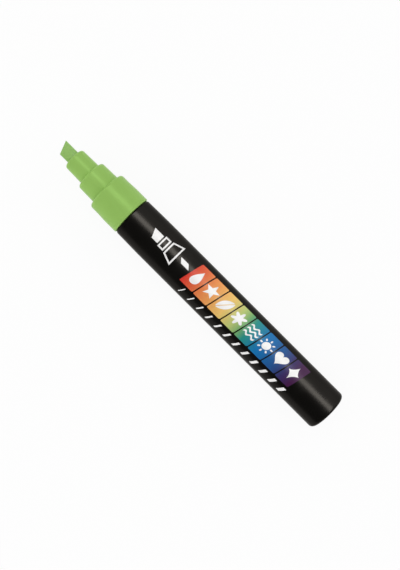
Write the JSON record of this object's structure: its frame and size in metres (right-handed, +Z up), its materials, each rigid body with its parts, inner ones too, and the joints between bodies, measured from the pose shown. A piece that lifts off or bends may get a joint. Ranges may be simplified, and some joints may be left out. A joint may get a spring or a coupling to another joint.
{
  "type": "paint marker",
  "caption": "Paint marker lying on its side, cap off: a round dark barrel, a three-step front section, a slanted chisel nib and a sprung pump valve inside.",
  "frame": {"origin": "on the surface that the marker lies on, under the middle of its length and width", "axes": "+X along the marker's axis from the nib to the closed rear end, +Z up, +Y to the side of the chisel's long corner"},
  "size_m": [0.133, 0.016, 0.0159],
  "materials": {
    "barrel_black": "satin",
    "front_green": "satin",
    "nib_green": "matte",
    "valve_plastic": "satin",
    "seal_rubber": "matte",
    "spring_steel": "satin",
    "ball_steel": "polished"
  },
  "bodies": {
    "body": {"barrel": "barrel_black", "front_section": "front_green", "sealing_ring": "seal_rubber", "valve_seat": "seal_rubber", "valve_cage": "valve_plastic", "valve_spring": "spring_steel"},
    "nib_and_stem": {"nib": "nib_green", "valve_stem": "valve_plastic"},
    "ball": {"mixing_ball": "ball_steel"}
  },
  "joints": [
    {"name": "nib_press", "type": "slide", "parent": "body", "child": "nib_and_stem", "axis": [1, 0, 0], "range_m": [0, 0.0022], "stiffness_N_per_m": 600, "springref_m": -0.0025, "deforming": ["valve_spring"]},
    {"name": "ball_travel", "type": "slide", "parent": "body", "child": "ball", "axis": [1, 0, 0], "range_m": [-0.0347, 0.0384]}
  ]
}
